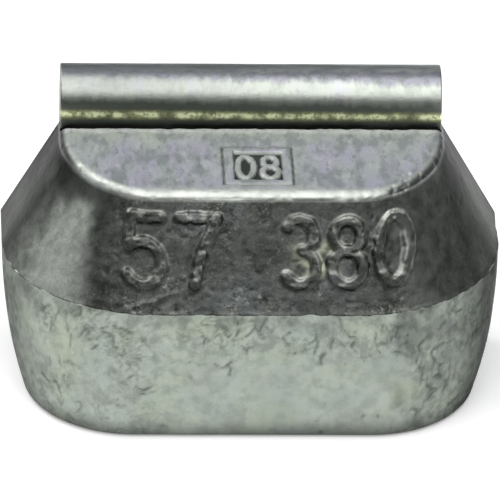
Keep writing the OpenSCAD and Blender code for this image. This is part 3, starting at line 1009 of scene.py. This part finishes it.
def finish_piece(ob, mat, node):
    """Gives a detailed piece its material, and lets it stand for its CAD node."""
    ob.data.materials.clear()
    ob.data.materials.append(mat)
    ob.data.shade_smooth()
    ob.data.set_sharp_from_angle(angle=math.radians(SHARP_ANGLE))
    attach(ob, "root")
    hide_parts(node)


clip = new_object("spring_clip_detail", clip_mesh())
for side in (-1, 1):
    peg = peg_object("peg", side * ANCHOR_PITCH / 2)
    cut(clip, peg)
    drop_object(peg)

rows, zones = casting_rows()
surface, masks = casting_surface(rows, zones)
body = new_object("cast_body_detail", grid_mesh("cast_body_detail", surface, masks))
gap = box_object("gap", (-CLIP_W / 2, CLIP_FRONT_Y - GAP_W, SHOULDER_Z - REAR_ROUND - GAP_H),
                 (CLIP_W / 2, CLIP_FRONT_Y + 0.05, SHOULDER_Z + 1))
cut(body, gap)
drop_object(gap)
# The clip's own shape, moved back by a hair's breadth, cuts its pocket into the casting
tail = new_object("tail", clip.data.copy())
tail.data.transform(Matrix.Translation((0, 0.00001, 0)))
cut(body, tail)
drop_object(tail)

finish_piece(body, zinc_material(), "cast_body")
finish_piece(clip, steel_material(), "spring_clip")


# Studio

# Light that the floor and the world add, so that the background is white
FLOOR_LIFT, WORLD_FILL = 0.25, 0.6
FLOOR_HALF = 4.0


def direction(azimuth, elevation):
    """Azimuth 0 is in front of the weight and 90 to its right."""
    a, e = math.radians(azimuth), math.radians(elevation)
    return Vector((math.sin(a) * math.cos(e), -math.cos(a) * math.cos(e), math.sin(e)))


def seen(tree):
    """1 for rays that see the background: camera, glossy and transmission rays."""
    path = tree.nodes.new("ShaderNodeLightPath")
    either = path.outputs["Is Camera Ray"]
    for name in ("Is Glossy Ray", "Is Transmission Ray"):
        n = tree.nodes.new("ShaderNodeMath")
        n.operation = "MAXIMUM"
        tree.links.new(either, n.inputs[0])
        tree.links.new(path.outputs[name], n.inputs[1])
        either = n.outputs[0]
    return either


def add_floor():
    corners = [(-1, -1), (1, -1), (1, 1), (-1, 1)]
    mesh = bpy.data.meshes.new("floor")
    mesh.from_pydata([(x * FLOOR_HALF, y * FLOOR_HALF, 0) for x, y in corners], [], [(0, 1, 2, 3)])
    ob = new_object("floor", mesh)
    m = Nodes("floor")
    tone = m.noise(m.coords(), 0.01, 2.0)
    m.shade("Base Color", m.mix(tone, (0.93, 0.93, 0.93), (0.95, 0.95, 0.95)))
    m.shade("Roughness", 0.9)
    m.shade("Specular IOR Level", 0.1)
    m.shade("Emission Color", (1, 1, 1))
    m.shade("Emission Strength", m.product(seen(m.tree), FLOOR_LIFT))
    ob.data.materials.append(m.mat)


def add_softbox(name, azimuth, elevation, dist, width, height, radiance):
    """A soft area light that faces the weight."""
    data = bpy.data.lights.new(name, "AREA")
    data.shape, data.size, data.size_y = "RECTANGLE", width, height
    data.energy = radiance * math.pi * width * height
    ob = bpy.data.objects.new(name, data)
    bpy.context.scene.collection.objects.link(ob)
    back = direction(azimuth, elevation)
    ob.location = back * dist
    ob.rotation_euler = back.to_track_quat("Z", "Y").to_euler()


def add_screen(name, azimuths, elevations, radius, color):
    """A curved screen round part of the set, which the metal reflects and the camera looks past."""
    rows, cols = 8, 48
    verts = [direction(azimuths[0] + (azimuths[1] - azimuths[0]) * i / cols,
                       elevations[0] + (elevations[1] - elevations[0]) * k / rows) * radius
             for k in range(rows + 1) for i in range(cols + 1)]
    line = cols + 1
    faces = [(k * line + i, k * line + i + 1, (k + 1) * line + i + 1, (k + 1) * line + i)
             for k in range(rows) for i in range(cols)]
    mesh = bpy.data.meshes.new(name)
    mesh.from_pydata([tuple(v) for v in verts], [], faces)
    ob = new_object(name, mesh)
    m = Nodes(name)
    tone = m.noise(m.coords(), 0.004, 2.0)
    m.shade("Base Color", m.mix(tone, color, tuple(c * 1.15 for c in color)))
    m.shade("Roughness", 1.0)
    ob.data.materials.append(m.mat)
    ob.visible_camera = False


def add_world():
    world = bpy.data.worlds.new("studio")
    bpy.context.scene.world = world
    world.use_nodes = True
    tree = world.node_tree
    tree.nodes.clear()
    out = tree.nodes.new("ShaderNodeOutputWorld")
    bg = tree.nodes.new("ShaderNodeBackground")
    span = tree.nodes.new("ShaderNodeMapRange")
    # Its upper end is 1, which is white
    span.inputs["To Min"].default_value = WORLD_FILL
    tree.links.new(seen(tree), span.inputs["Value"])
    tree.links.new(span.outputs[0], bg.inputs["Strength"])
    tree.links.new(bg.outputs[0], out.inputs[0])


add_floor()
add_world()
# Distances and sizes in metres, angles in degrees
add_softbox("softbox", azimuth=0, elevation=67, dist=0.9, width=1.3, height=1.3, radiance=1.75)
add_softbox("left_light", azimuth=-124, elevation=46, dist=0.9, width=0.42, height=0.40, radiance=4.0)
add_screen("front_screen", azimuths=(-72, 112), elevations=(0, 30), radius=1.2, color=(0.03, 0.03, 0.03))
add_screen("left_screen", azimuths=(-112, -180), elevations=(0, 26), radius=1.5, color=(0.05, 0.05, 0.05))
add_screen("rear_screen", azimuths=(112, 215), elevations=(0, 74), radius=1.6, color=(0.36, 0.38, 0.40))

bpy.context.scene.view_settings.view_transform = "Standard"
